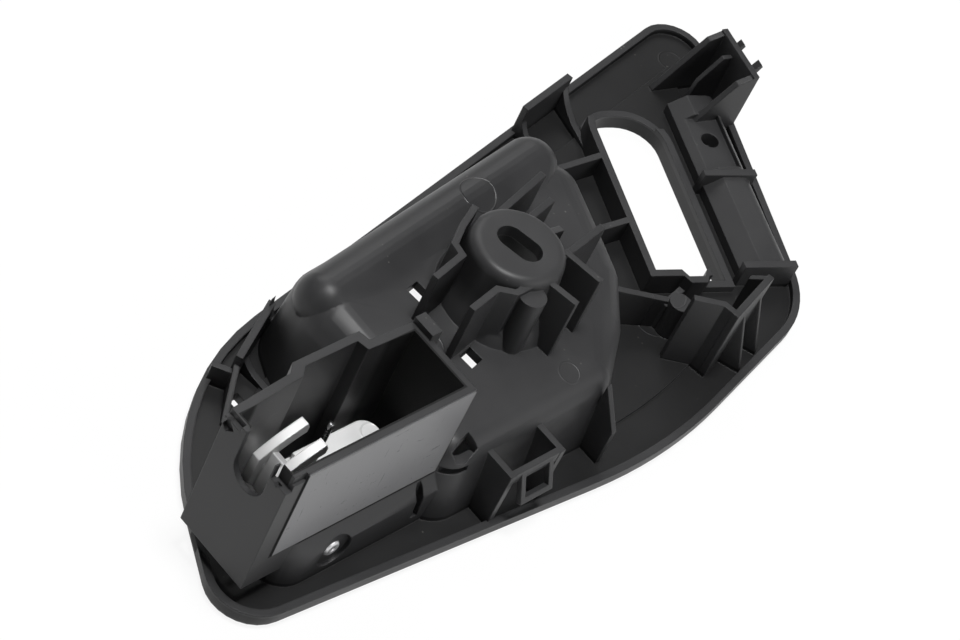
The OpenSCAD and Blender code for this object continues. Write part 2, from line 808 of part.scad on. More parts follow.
// Cheek: a curved arm from the hub to the quadrant's rim, with a hooked tip
module quadrant_cheek() {
    difference() {
        union() {
            sector(quadrant_r - 11, quadrant_r, rest_lean, quad_low);
            polygon([[-5.6, 0], [5.6, 0], [1, 12],
                     [-(quadrant_r - 9) * sin(rest_lean), (quadrant_r - 9) * cos(rest_lean)],
                     [-(quadrant_r - 9) * sin(quad_low), (quadrant_r - 9) * cos(quad_low)],
                     [-9, 9]]);
            translate([-(quadrant_r - 2.6) * sin(rest_lean), (quadrant_r - 2.6) * cos(rest_lean)])
                circle(r = 2.6);
        }
        translate([-(quadrant_r - 6) * sin(rest_lean + 4), (quadrant_r - 6) * cos(rest_lean + 4)])
            circle(r = 1.4);
    }
}

module wing() {
    x0 = pivot_x;
    x1 = box_x1 - box_wall - wing_gap;
    y0 = hub_y0;
    y1 = hub_y1 - 0.8;
    top = pivot_z + 10.4;
    near_r = 2.6;
    far_r = 3.4;
    translate([0, 0, top - 2])
        linear_extrude(2)
            polygon(concat([[x0, y1], [x0, y0]],
                round_pts([x0, y0], [x1, y0], [x1, y1], near_r, 6),
                round_pts([x1, y0], [x1, y1], [x0, y1], far_r, 8)));
    along_y(y0, leg_y - wire_d / 2 - wire_gap)
        polygon([[pivot_x, pivot_z], [x1 - 5, pivot_z + 2], [x1 - 5, top - 1], [pivot_x - 2, top - 1]]);
}

module lever() {
    color(chrome)
        translate([-mid[0], -mid[1], 0])
            lever_body();
}

// Torsion spring: the fixed leg, the coil and the moving leg as one wire
spring_steps = 16;
coil_steps = coil_turns * spring_steps;
function coil_point(i) = let (a = 90 - i * 360 / spring_steps)
    [coil_r * cos(a), leg_y + coil_pitch * i / spring_steps, coil_r * sin(a)];
spring_path = concat(
    [[plate_in + wire_gap - pivot_x, leg_y, coil_r]],
    [for (i = [0:coil_steps]) coil_point(i)],
    [[-coil_r + 0.3, coil_end_y, quadrant_r - free_leg_short]]);

function cross3(a, b) = [a[1] * b[2] - a[2] * b[1], a[2] * b[0] - a[0] * b[2], a[0] * b[1] - a[1] * b[0]];
module sweep_wire(path, r, sides) {
    n = len(path);
    tangents = [for (i = [0:n - 1])
        unit(path[min(i + 1, n - 1)] - path[max(i - 1, 0)])];
    side = [0, 1, 0];
    rings = [for (i = [0:n - 1])
        let (t = tangents[i], u = unit(cross3(side, t)), v = cross3(t, u))
        [for (k = [0:sides - 1])
            path[i] + r * (u * cos(k * 360 / sides) + v * sin(k * 360 / sides))]];
    pts = [for (ring = rings) each ring];
    faces = concat(
        [for (i = [0:n - 2], k = [0:sides - 1])
            [i * sides + k, i * sides + (k + 1) % sides,
             (i + 1) * sides + (k + 1) % sides, (i + 1) * sides + k]],
        [[for (k = [sides - 1:-1:0]) k]],
        [[for (k = [0:sides - 1]) (n - 1) * sides + k]]);
    polyhedron(points = pts, faces = faces, convexity = 6);
}

module return_spring() {
    color("#8d9094")
        translate([pivot_x - mid[0], -mid[1], pivot_z])
            sweep_wire(spring_path, wire_d / 2, 8);
}

housing();
lever();
pivot_pin();
return_spring();
rest_buffer();
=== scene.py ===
"""Looks of the inside door handle: finishes, turned and swept details, light and camera.

Lengths are in metres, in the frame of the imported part: X along the bezel, Y across it and Z out of its back.
"""

import logging
import math
from dataclasses import dataclass
from enum import Enum
from typing import Callable

import bpy
import numpy as np
from mathutils import Matrix, Vector

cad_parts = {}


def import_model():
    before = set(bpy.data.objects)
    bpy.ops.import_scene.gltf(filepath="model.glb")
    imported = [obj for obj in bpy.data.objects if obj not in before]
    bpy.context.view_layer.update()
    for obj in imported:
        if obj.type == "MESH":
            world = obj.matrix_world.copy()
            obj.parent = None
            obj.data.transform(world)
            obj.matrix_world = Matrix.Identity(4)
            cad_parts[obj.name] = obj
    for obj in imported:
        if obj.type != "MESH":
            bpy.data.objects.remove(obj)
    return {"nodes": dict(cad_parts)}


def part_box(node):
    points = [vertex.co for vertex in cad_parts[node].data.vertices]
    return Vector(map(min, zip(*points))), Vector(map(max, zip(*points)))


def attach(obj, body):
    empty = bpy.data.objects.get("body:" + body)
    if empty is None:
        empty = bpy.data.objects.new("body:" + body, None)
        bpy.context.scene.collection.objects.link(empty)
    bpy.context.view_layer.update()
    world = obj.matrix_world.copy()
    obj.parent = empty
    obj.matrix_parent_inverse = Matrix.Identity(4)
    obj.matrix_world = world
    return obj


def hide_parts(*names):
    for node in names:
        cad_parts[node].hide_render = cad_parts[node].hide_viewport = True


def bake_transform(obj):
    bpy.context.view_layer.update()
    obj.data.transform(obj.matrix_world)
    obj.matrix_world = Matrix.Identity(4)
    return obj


LOG = logging.getLogger("door_handle")
MM = 0.001
# where the layout of the part's source puts the pivot and the near end of the pin, in mm
PIVOT_X = -75.6
PIN_END_Y = -34.1
# the scale of a streak pattern that isn't drawn out to any side
EVEN = (1.0, 1.0, 1.0)
# how far the floor lies below the rim, in mm, so that the two don't share a plane
FLOOR_DROP = 0.02

Vec3 = tuple[float, float, float]
CadNodes = dict[str, bpy.types.Object]
Shell = tuple[np.ndarray, list[tuple[int, ...]]]


class Slot(Enum):
    """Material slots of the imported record."""

    HOUSING = "housing"
    LEVER = "lever"
    PIN = "pivot_pin"
    SPRING = "return_spring"
    PAD = "rest_buffer"


class Grain(Enum):
    """Kinds of fine surface texture, each with its cells per millimetre."""

    MOULDED = 5.5
    CAST = 3.2
    DRAWN = 9.0
    RUBBER = 4.0


class Nodes:
    """Short hand for building one node tree."""

    def __init__(self, tree: bpy.types.NodeTree) -> None:
        """Keeps the tree.

        Args:
            tree: the node tree that the nodes go into.
        """
        self.tree = tree

    def add(self, kind: str, **settings: object) -> bpy.types.Node:
        """Adds a node and sets its properties.

        Args:
            kind: the node's type name.
            settings: properties by name.

        Returns:
            The new node.
        """
        node = self.tree.nodes.new(kind)
        for name, value in settings.items():
            setattr(node, name, value)
        return node

    def wire(self, source: bpy.types.NodeSocket, target: bpy.types.NodeSocket) -> None:
        """Joins two sockets."""
        self.tree.links.new(source, target)

    def math(self, operation: str, a: object, b: object = 0.0, clamp: bool = False) -> bpy.types.NodeSocket:
        """Adds a Math node.

        Args:
            operation: the node's operation.
            a: a socket or a number.
            b: a socket or a number.
            clamp: True to keep the result from 0 to 1.

        Returns:
            The node's output socket.
        """
        node = self.add("ShaderNodeMath", operation=operation, use_clamp=clamp)
        for socket, value in zip(node.inputs, (a, b)):
            if isinstance(value, bpy.types.NodeSocket):
                self.wire(value, socket)
            else:
                socket.default_value = value
        return node.outputs[0]

    def remap(self, value: bpy.types.NodeSocket, span: tuple[float, float], to: tuple[float, float],
              smooth: bool = False) -> bpy.types.NodeSocket:
        """Maps one range of a value onto another, and clamps it.

        Args:
            value: the socket to map.
            span: the range that comes in.
            to: the range that goes out.
            smooth: True for a smooth step.

        Returns:
            The mapped value.
        """
        node = self.add("ShaderNodeMapRange", interpolation_type="SMOOTHSTEP" if smooth else "LINEAR")
        self.wire(value, node.inputs["Value"])
        for name, number in zip(("From Min", "From Max", "To Min", "To Max"), (*span, *to)):
            node.inputs[name].default_value = number
        return node.outputs["Result"]

    def noise(self, vector: bpy.types.NodeSocket, scale: object, detail: float = 2.0,
              rough: float = 0.5) -> bpy.types.NodeSocket:
        """Adds a noise texture.

        Args:
            vector: where the texture is read.
            scale: a socket or a number of cells per metre.
            detail: octaves.
            rough: share of the finer octaves.

        Returns:
            The noise value.
        """
        node = self.add("ShaderNodeTexNoise")
        self.wire(vector, node.inputs["Vector"])
        if isinstance(scale, bpy.types.NodeSocket):
            self.wire(scale, node.inputs["Scale"])
        else:
            node.inputs["Scale"].default_value = scale
        node.inputs["Detail"].default_value = detail
        node.inputs["Roughness"].default_value = rough
        return node.outputs["Fac"]

    def mix(self, factor: object, a: object, b: object) -> bpy.types.NodeSocket:
        """Mixes two colours.

        Args:
            factor: a socket or a number.
            a: a socket or a colour.
            b: a socket or a colour.

        Returns:
            The mixed colour.
        """
        node = self.add("ShaderNodeMix", data_type="RGBA")
        for socket, value in ((node.inputs["Factor"], factor), (node.inputs[6], a), (node.inputs[7], b)):
            if isinstance(value, bpy.types.NodeSocket):
                self.wire(value, socket)
            else:
                socket.default_value = value
        return node.outputs[2]

    def group(self, tree: bpy.types.NodeTree, values: dict[str, float]) -> bpy.types.Node:
        """Places a shared effect with its own values.

        Args:
            tree: the shared group.
            values: inputs by name.

        Returns:
            The group node.
        """
        node = self.add("ShaderNodeGroup")
        node.node_tree = tree
        for label, value in values.items():
            node.inputs[label].default_value = value
        return node


def new_group(name: str, inputs: dict[str, float],
              outputs: tuple[str, ...]) -> tuple[bpy.types.NodeTree, Nodes]:
    """Makes an empty shader node group.

    Args:
        name: the group's name.
        inputs: names and defaults of its number inputs.
        outputs: names of its number outputs.

    Returns:
        The group and its node builder.
    """
    tree = bpy.data.node_groups.new(name, "ShaderNodeTree")
    for label, value in inputs.items():
        socket = tree.interface.new_socket(name=label, in_out="INPUT", socket_type="NodeSocketFloat")
        socket.default_value = value
    for label in outputs:
        tree.interface.new_socket(name=label, in_out="OUTPUT", socket_type="NodeSocketFloat")
    return tree, Nodes(tree)


class SharedEffects:
    """Node groups that several materials use."""

    def __init__(self) -> None:
        """Builds each group once."""
        self.grain = self._grain()
        self.edges = self._edges()
        self.dust = self._dust()
        self.box = self._box()
        self.ring = self._ring()

    @staticmethod
    def _grain() -> bpy.types.NodeTree:
        """Fine texture: a Voronoi cell field and a noise of the same size, and a slow cloud for the tone."""
        tree, n = new_group("SurfaceGrain", {"Cells per mm": 5.0, "Cloud mm": 18.0}, ("Height", "Cloud"))
        entry = n.add("NodeGroupInput")
        leave = n.add("NodeGroupOutput")
        at = n.add("ShaderNodeTexCoord").outputs["Object"]
        scale = n.math("MULTIPLY", entry.outputs["Cells per mm"], 1.0 / MM)
        cells = n.add("ShaderNodeTexVoronoi", feature="F1")
        n.wire(at, cells.inputs["Vector"])
        n.wire(scale, cells.inputs["Scale"])
        fine = n.noise(at, scale, 2.0, 0.6)
        coarse_share = n.math("MULTIPLY", cells.outputs["Distance"], 0.6)
        n.wire(n.math("ADD", coarse_share, n.math("MULTIPLY", fine, 0.4)), leave.inputs["Height"])
        slow = n.math("DIVIDE", 1.0 / MM, entry.outputs["Cloud mm"])
        n.wire(n.noise(at, slow, 4.0, 0.55), leave.inputs["Cloud"])
        return tree

    @staticmethod
    def _edges() -> bpy.types.NodeTree:
        """Edge mask and rounded normal: how far the rounded normal leans from the plain one, with noise."""
        tree, n = new_group("EdgeWear", {"Radius mm": 0.4, "Amount": 1.0}, ("Mask",))
        tree.interface.new_socket(name="Normal", in_out="OUTPUT", socket_type="NodeSocketVector")
        entry = n.add("NodeGroupInput")
        leave = n.add("NodeGroupOutput")
        bevel = n.add("ShaderNodeBevel", samples=4)
        n.wire(n.math("MULTIPLY", entry.outputs["Radius mm"], MM), bevel.inputs["Radius"])
        n.wire(bevel.outputs["Normal"], leave.inputs["Normal"])
        plain = n.add("ShaderNodeNewGeometry")
        dot = n.add("ShaderNodeVectorMath", operation="DOT_PRODUCT")
        n.wire(bevel.outputs["Normal"], dot.inputs[0])
        n.wire(plain.outputs["Normal"], dot.inputs[1])
        lean = n.math("SUBTRACT", 1.0, dot.outputs["Value"])
        at = n.add("ShaderNodeTexCoord").outputs["Object"]
        broken = n.remap(n.noise(at, 700.0, 4.0, 0.65), (0.35, 0.7), (0.15, 1.0))
        edge = n.remap(lean, (0.03, 0.3), (0.0, 1.0), smooth=True)
        n.wire(n.math("MULTIPLY", n.math("MULTIPLY", edge, broken), entry.outputs["Amount"], clamp=True),
               leave.inputs["Mask"])
        return tree

    @staticmethod
    def _dust() -> bpy.types.NodeTree:
        """Dust and fine scuffs: sparse specks on faces that look up, and thin stretched scratches."""
        tree, n = new_group("DustAndScuffs", {"Specks": 0.3, "Scuffs": 0.3}, ("Specks", "Scuffs"))
        entry = n.add("NodeGroupInput")
        leave = n.add("NodeGroupOutput")
        at = n.add("ShaderNodeTexCoord").outputs["Object"]
        facing = n.add("ShaderNodeSeparateXYZ")
        n.wire(n.add("ShaderNodeNewGeometry").outputs["Normal"], facing.inputs[0])
        up = n.remap(facing.outputs["Z"], (0.2, 0.9), (0.0, 1.0))
        cells = n.add("ShaderNodeTexVoronoi", feature="F1")
        n.wire(at, cells.inputs["Vector"])
        cells.inputs["Scale"].default_value = 420.0
        dots = n.remap(cells.outputs["Distance"], (0.05, 0.11), (1.0, 0.0))
        sparse = n.remap(n.noise(at, 95.0, 3.0, 0.6), (0.56, 0.66), (0.0, 1.0))
        specks = n.math("MULTIPLY", n.math("MULTIPLY", dots, sparse), up)
        n.wire(n.math("MULTIPLY", specks, entry.outputs["Specks"], clamp=True), leave.inputs["Specks"])
        turn = n.add("ShaderNodeMapping")
        turn.inputs["Rotation"].default_value = (0.3, 0.5, 0.9)
        turn.inputs["Scale"].default_value = (1.0, 14.0, 5.0)
        n.wire(at, turn.inputs["Vector"])
        lines = n.remap(n.noise(turn.outputs["Vector"], 130.0, 5.0, 0.7), (0.6, 0.68), (0.0, 1.0))
        n.wire(n.math("MULTIPLY", lines, entry.outputs["Scuffs"], clamp=True), leave.inputs["Scuffs"])
        return tree

    @staticmethod
    def _box() -> bpy.types.NodeTree:
        """Mask of a box: the largest distance past any side, turned into a soft edge. Inputs are in mm."""
        names = {f"{end} {axis}": 0.0 for end in ("Low", "High") for axis in "XYZ"}
        tree, n = new_group("BoxMask", {**names, "Soft mm": 0.1}, ("Mask",))
        entry = n.add("NodeGroupInput")
        leave = n.add("NodeGroupOutput")
        place = n.add("ShaderNodeSeparateXYZ")
        n.wire(n.add("ShaderNodeTexCoord").outputs["Object"], place.inputs[0])
        worst = None
        for axis in "XYZ":
            value = n.math("DIVIDE", place.outputs[axis], MM)
            below = n.math("SUBTRACT", entry.outputs[f"Low {axis}"], value)
            above = n.math("SUBTRACT", value, entry.outputs[f"High {axis}"])
            past = n.math("MAXIMUM", below, above)
            worst = past if worst is None else n.math("MAXIMUM", worst, past)
        inside = n.math("MULTIPLY", n.math("DIVIDE", worst, entry.outputs["Soft mm"]), -1.0, clamp=True)
        n.wire(inside, leave.inputs["Mask"])
        return tree

    @staticmethod
    def _ring() -> bpy.types.NodeTree:
        """Ejector mark: a thin ring at a radius from an upright axis, above a height. Inputs are in mm."""
        tree, n = new_group("EjectorRing", {"X": 0.0, "Y": 0.0, "Radius": 3.0, "Width": 0.25, "Floor": 0.0},
                            ("Ring", "Disc"))
        entry = n.add("NodeGroupInput")
        leave = n.add("NodeGroupOutput")
        place = n.add("ShaderNodeSeparateXYZ")
        n.wire(n.add("ShaderNodeTexCoord").outputs["Object"], place.inputs[0])
        dx = n.math("SUBTRACT", n.math("DIVIDE", place.outputs["X"], MM), entry.outputs["X"])
        dy = n.math("SUBTRACT", n.math("DIVIDE", place.outputs["Y"], MM), entry.outputs["Y"])
        far = n.math("SQRT", n.math("ADD", n.math("MULTIPLY", dx, dx), n.math("MULTIPLY", dy, dy)))
        off = n.math("SUBTRACT", far, entry.outputs["Radius"])
        over = n.math("GREATER_THAN", n.math("DIVIDE", place.outputs["Z"], MM), entry.outputs["Floor"])
        widths_off = n.math("DIVIDE", n.math("ABSOLUTE", off), entry.outputs["Width"])
        line = n.math("SUBTRACT", 1.0, widths_off, clamp=True)
        disc = n.math("DIVIDE", n.math("MULTIPLY", off, -1.0), entry.outputs["Width"], clamp=True)
        n.wire(n.math("MULTIPLY", line, over), leave.inputs["Ring"])
        n.wire(n.math("MULTIPLY", disc, over), leave.inputs["Disc"])
        return tree


@dataclass(frozen=True)
class Patch:
    """A box of the surface whose colour is scaled to paint light or shade, with its own roughness and a
    streaky tone, in mm.
    """

    low: Vec3
    high: Vec3
    # scale on the colour: above 1 is painted light, below 1 is painted shade
    lighter: float = 2.0
    roughness: float = 0.3
    drag: Vec3 = (30.0, 1.0, 1.6)


@dataclass(frozen=True)
class EjectorMark:
    """A round mark that an ejector pin left, in mm."""

    x: float
    y: float
    radius: float
    floor: float
    depth: float = 0.12


@dataclass(frozen=True)
class Finish:
    """A procedural finish.

    Colour runs from low to high with the slow cloud. Bump heights are in mm.
    """

    name: str
    low: Vec3
    high: Vec3
    metallic: float
    roughness: tuple[float, float]
    grain: Grain
    grain_height: float
    cloud_mm: float
    edge_mm: float
    edge_light: Vec3
    edge_amount: float
    specks: float
    scuffs: float
    specular: float = 0.5
    marks: tuple[EjectorMark, ...] = ()
    patches: tuple[Patch, ...] = ()

    def build(self, shared: SharedEffects) -> bpy.types.Material:
        """Makes the material.

        Args:
            shared: the shared node groups.

        Returns:
            The material.
        """
        material = bpy.data.materials.new(self.name)
        material.use_nodes = True
        material.node_tree.nodes.clear()
        n = Nodes(material.node_tree)
        shader = n.add("ShaderNodeBsdfPrincipled")
        out = n.add("ShaderNodeOutputMaterial")
        n.wire(shader.outputs[0], out.inputs["Surface"])
        grain = n.group(shared.grain, {"Cells per mm": self.grain.value, "Cloud mm": self.cloud_mm})
        edge = n.group(shared.edges, {"Radius mm": self.edge_mm, "Amount": self.edge_amount})
        dust = n.group(shared.dust, {"Specks": self.specks, "Scuffs": self.scuffs})
        cloud = n.remap(grain.outputs["Cloud"], (0.3, 0.7), (0.0, 1.0))
        colour = n.mix(cloud, (*self.low, 1.0), (*self.high, 1.0))
        rough = n.remap(grain.outputs["Cloud"], (0.3, 0.7), self.roughness)
        height = n.math("MULTIPLY", grain.outputs["Height"], self.grain_height * MM)
        # each patch paints light or shade into the colour and sets its own roughness
        for patch in self.patches:
            colour, rough, height = self._patch(n, shared, patch, colour, rough, height)
        for mark in self.marks:
            values = {"X": mark.x, "Y": mark.y, "Radius": mark.radius, "Floor": mark.floor}
            ring = n.group(shared.ring, values)
            sunk = n.math("MULTIPLY", ring.outputs["Disc"], 0.4)
            lift = n.math("MULTIPLY", n.math("SUBTRACT", ring.outputs["Ring"], sunk), mark.depth * MM)
            height = n.math("ADD", height, lift)
        colour = n.mix(edge.outputs["Mask"], colour, (*self.edge_light, 1.0))
        colour = n.mix(dust.outputs["Specks"], colour, (0.32, 0.31, 0.29, 1.0))
        rough = n.math("ADD", rough, n.math("MULTIPLY", dust.outputs["Scuffs"], -0.1), clamp=True)
        height = n.math("SUBTRACT", height, n.math("MULTIPLY", dust.outputs["Scuffs"], 0.004 * MM))
        bump = n.add("ShaderNodeBump")
        bump.inputs["Strength"].default_value = 1.0
        bump.inputs["Distance"].default_value = 1.0
        n.wire(height, bump.inputs["Height"])
        n.wire(edge.outputs["Normal"], bump.inputs["Normal"])
        n.wire(colour, shader.inputs["Base Color"])
        n.wire(rough, shader.inputs["Roughness"])
        n.wire(bump.outputs["Normal"], shader.inputs["Normal"])
        shader.inputs["Metallic"].default_value = self.metallic
        shader.inputs["Specular IOR Level"].default_value = self.specular
        return material

    def _patch(self, n: Nodes, shared: SharedEffects, patch: Patch, colour: bpy.types.NodeSocket,
               rough: bpy.types.NodeSocket, height: bpy.types.NodeSocket) -> tuple:
        """Lays one patch over the colour, roughness and height; its colour is painted light or painted shade.

        Args:
            n: the material's node builder.
            shared: the shared node groups.
            patch: the patch.
            colour: the colour so far.
            rough: the roughness so far.
            height: the height so far.

        Returns:
            The new colour, roughness and height.
        """
        values = {f"Low {a}": v for a, v in zip("XYZ", patch.low)}
        values |= {f"High {a}": v for a, v in zip("XYZ", patch.high)}
        mask = n.group(shared.box, values).outputs["Mask"]
        at = n.add("ShaderNodeTexCoord").outputs["Object"]
        drag = n.add("ShaderNodeMapping")
        drag.inputs["Scale"].default_value = patch.drag
        n.wire(at, drag.inputs["Vector"])
        streak = n.noise(drag.outputs["Vector"], 60.0, 3.0, 0.65)
        tone = n.remap(streak, (0.3, 0.7), (0.95, 1.06))
        # painted light or shade: the high colour scaled by the patch
        light = tuple(min(1.0, c * patch.lighter) for c in self.high)
        painted_tone = n.add("ShaderNodeVectorMath", operation="SCALE")
        painted_tone.inputs[0].default_value = light
        n.wire(tone, painted_tone.inputs["Scale"])
        colour = n.mix(mask, colour, painted_tone.outputs[0])
        smooth = n.remap(streak, (0.3, 0.7), (patch.roughness - 0.03, patch.roughness + 0.04))
        span = n.math("SUBTRACT", smooth, rough)
        rough = n.math("ADD", rough, n.math("MULTIPLY", span, mask))
        flat = n.math("MULTIPLY", streak, 0.004 * MM)
        height = n.math("ADD", height, n.math("MULTIPLY", n.math("SUBTRACT", flat, height), mask))
        return colour, rough, height


def make_mesh(name: str, points: np.ndarray, faces: list[tuple[int, ...]], material: bpy.types.Material,
              smooth: bool = True) -> bpy.types.Object:
    """Turns points and faces into an object at the origin.

    Args:
        name: the object's name.
        points: an array of points, one row each.
        faces: corner numbers of each face.
        material: its finish.
        smooth: True to shade it smooth.

    Returns:
        The new object.
    """
    mesh = bpy.data.meshes.new(name)
    mesh.from_pydata(points.tolist(), [], faces)
    mesh.update()
    mesh.polygons.foreach_set("use_smooth", np.full(len(mesh.polygons), smooth))
    mesh.materials.append(material)
    obj = bpy.data.objects.new(name, mesh)
    bpy.context.scene.collection.objects.link(obj)
    return obj


def grid_faces(rows: int, cols: int, closed: bool) -> list[tuple[int, ...]]:
    """Quads of a grid of points.

    Args:
        rows: points along the first way.
        cols: points along the second way.
        closed: True if the second way runs round.

    Returns:
        Corner numbers of each quad.
    """
    i, j = np.meshgrid(np.arange(rows - 1), np.arange(cols if closed else cols - 1), indexing="ij")
    k = (j + 1) % cols
    quads = np.stack([i * cols + j, i * cols + k, (i + 1) * cols + k, (i + 1) * cols + j], -1)
    return [tuple(q) for q in quads.reshape(-1, 4).tolist()]


def revolve(profile: np.ndarray, base: Vec3, axis: str, segments: int = 64) -> Shell:
    """Turns a profile about an axis.

    Each profile point has a radius and a height along the axis. The point at angle t lies at
    radius times cos t and radius times sin t across the axis.

    Args:
        profile: rows of radius and height, in metres, from one pole to the other.
        base: where the axis starts.
        axis: "X", "Y" or "Z".
        segments: points round the axis.

    Returns:
        Points and faces.
    """
    t = np.linspace(0.0, 2.0 * np.pi, segments, endpoint=False)
    r, h = profile[:, :1], profile[:, 1:2]
    u, v, w = r * np.cos(t), r * np.sin(t), np.broadcast_to(h, (len(profile), segments))
    order = {"X": (w, u, v), "Y": (v, w, u), "Z": (u, v, w)}[axis]
    points = np.stack(order, -1).reshape(-1, 3) + np.array(base)
    faces = [f[::-1] for f in grid_faces(len(profile), segments, True)]
    faces.append(tuple(range(segments)))
    last = (len(profile) - 1) * segments
    faces.append(tuple(last + k for k in reversed(range(segments))))
    return points, [f[::-1] for f in faces]


def sweep(path: np.ndarray, radius: float, side: Vec3, sides: int = 16) -> Shell:
    """Carries a circle along a path.

    The circle at each point lies across the path's direction, which is the difference of its
    neighbours, and starts from the given side turned square to that direction.

    Args:
        path: points of the centre line.
        radius: the circle's radius.
        side: a direction that no stretch of the path runs along.
        sides: points round the circle.

    Returns:
        Points and faces.
    """
    ahead = np.gradient(path, axis=0)
    ahead /= np.linalg.norm(ahead, axis=1, keepdims=True)
    u = np.cross(np.array(side), ahead)
    u /= np.linalg.norm(u, axis=1, keepdims=True)
    v = np.cross(ahead, u)
    t = np.linspace(0.0, 2.0 * np.pi, sides, endpoint=False)[None, :, None]
    ring = path[:, None, :] + radius * (np.cos(t) * u[:, None, :] + np.sin(t) * v[:, None, :])
    faces = grid_faces(len(path), sides, True)
    faces.append(tuple(reversed(range(sides))))
    last = (len(path) - 1) * sides
    faces.append(tuple(last + k for k in range(sides)))
    return ring.reshape(-1, 3), faces


def arc(radius: float, start: float, end: float, steps: int = 12) -> np.ndarray:
    """Points of an arc about the origin: radius times cos t and radius times sin t.

    Args:
        radius: the arc's radius.
        start: the angle t of the first point, in degrees.
        end: the angle t of the last point.
        steps: how many points.

    Returns:
        Rows of two numbers.
    """
    t = np.radians(np.linspace(start, end, steps))
    return radius * np.stack([np.cos(t), np.sin(t)], 1)


def extrude(outline: np.ndarray, low: float, high: float, axis: str) -> Shell:
    """Carries a flat outline straight along an axis and closes both ends.

    Args:
        outline: rows of X and Z for axis "Y", or of X and Y for axis "Z", in mm.
        low: where it starts along the axis.
        high: where it ends.
        axis: "Y" or "Z".

    Returns:
        Points in mm and faces that look outwards.
    """
    x, w = outline[:, 0], outline[:, 1]
    turn = np.sum(x * np.roll(w, -1) - np.roll(x, -1) * w)
    if (turn > 0) == (axis == "Y"):
        x, w = x[::-1], w[::-1]
    ends = [np.full_like(x, low), np.full_like(x, high)]
    rows = [np.stack((x, e, w) if axis == "Y" else (x, w, e), 1) for e in ends]
    count = len(x)
    i = np.arange(count)
    j = (i + 1) % count
    sides = np.stack([i, j, j + count, i + count], 1)
    faces = [tuple(f) for f in sides.tolist()]
    faces.append(tuple(range(count - 1, -1, -1)))
    faces.append(tuple(range(count, 2 * count)))
    return np.concatenate(rows), faces


def join(parts: list[Shell]) -> Shell:
    """Puts several shells into one list of points and faces.

    Args:
        parts: the shells.

    Returns:
        All points and all faces.
    """
    points = np.concatenate([p for p, _ in parts])
    faces = []
    start = 0
    for own, own_faces in parts:
        faces.extend(tuple(k + start for k in f) for f in own_faces)
        start += len(own)
    return points, faces


@dataclass
class Place:
    """Where the working parts lie, in mm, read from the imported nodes."""

    pivot: Vec3 = (0.0, 0.0, 0.0)
    pin_radius: float = 2.0
    pin_span: tuple[float, float] = (0.0, 0.0)

    @classmethod
    def from_frame(cls) -> "Place":
        """Reads the pin's box and returns the place of its axis."""
        low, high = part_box("pivot_pin")
        low, high = low / MM, high / MM
        middle = (low + high) / 2
        return cls((middle.x, middle.y, middle.z), (high.x - low.x) / 2, (low.y, high.y))


@dataclass
class Bezel:
    """The moulded bezel: a CAD node with its own finish."""

    finish: Finish
    node: str = "housing"

    def dress(self, cad: CadNodes, shared: SharedEffects) -> bpy.types.Object:
        """Gives the node its finish and returns it."""
        return dress_node(cad[self.node], self.finish.build(shared))


